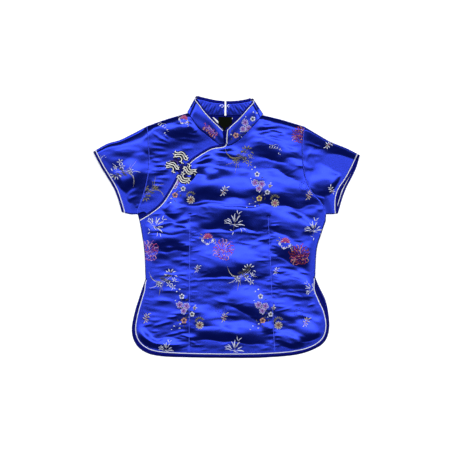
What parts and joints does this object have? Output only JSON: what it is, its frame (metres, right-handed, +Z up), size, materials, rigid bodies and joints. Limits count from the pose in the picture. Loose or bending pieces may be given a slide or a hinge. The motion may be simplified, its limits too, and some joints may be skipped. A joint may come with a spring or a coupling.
{
  "type": "mandarin collar blouse",
  "caption": "Short-sleeved satin brocade blouse, laid flat, with a stand collar, a curved side placket closed by a cord frog, piped and bound edges, and rounded side slits.",
  "frame": {"origin": "centre of the footprint, at the underside of the back that rests on the surface", "axes": "+Z up, away from the surface; +Y from the hem towards the collar; +X towards the wearer's left, the right-hand side of the front as it is seen from above"},
  "size_m": [0.627, 0.6178, 0.0129],
  "materials": {
    "blue_satin": "satin brocade",
    "binding_satin": "plain satin",
    "white_piping": "satin piping",
    "silver_cord": "metallic braid",
    "navy_cord": "satin cord",
    "wire_metal": "plated wire",
    "black_tape": "woven tape",
    "white_tape": "woven tape"
  },
  "bodies": {
    "root": {"back_left": "blue_satin", "back_right": "blue_satin", "collar_left": "blue_satin", "collar_left_binding": "binding_satin", "collar_left_piping": "white_piping", "collar_right": "blue_satin", "collar_right_binding": "binding_satin", "collar_right_piping": "white_piping", "eye": "wire_metal", "frog_knot": "navy_cord", "frog_lobe_bottom": "silver_cord", "frog_lobe_left": "silver_cord", "frog_lobe_right": "silver_cord", "frog_lobe_top": "silver_cord", "frog_loop": "navy_cord", "front_main": "blue_satin", "front_underlap": "blue_satin", "hem_back_binding": "binding_satin", "hem_back_piping": "white_piping", "hem_front_binding": "binding_satin", "hem_front_piping": "white_piping", "hook": "wire_metal", "neck_label": "black_tape", "placket_binding": "binding_satin", "placket_piping": "white_piping", "size_tag": "white_tape", "sleeve_left": "blue_satin", "sleeve_left_binding": "binding_satin", "sleeve_left_piping": "white_piping", "sleeve_right": "blue_satin", "sleeve_right_binding": "binding_satin", "sleeve_right_piping": "white_piping"}
  },
  "joints": []
}
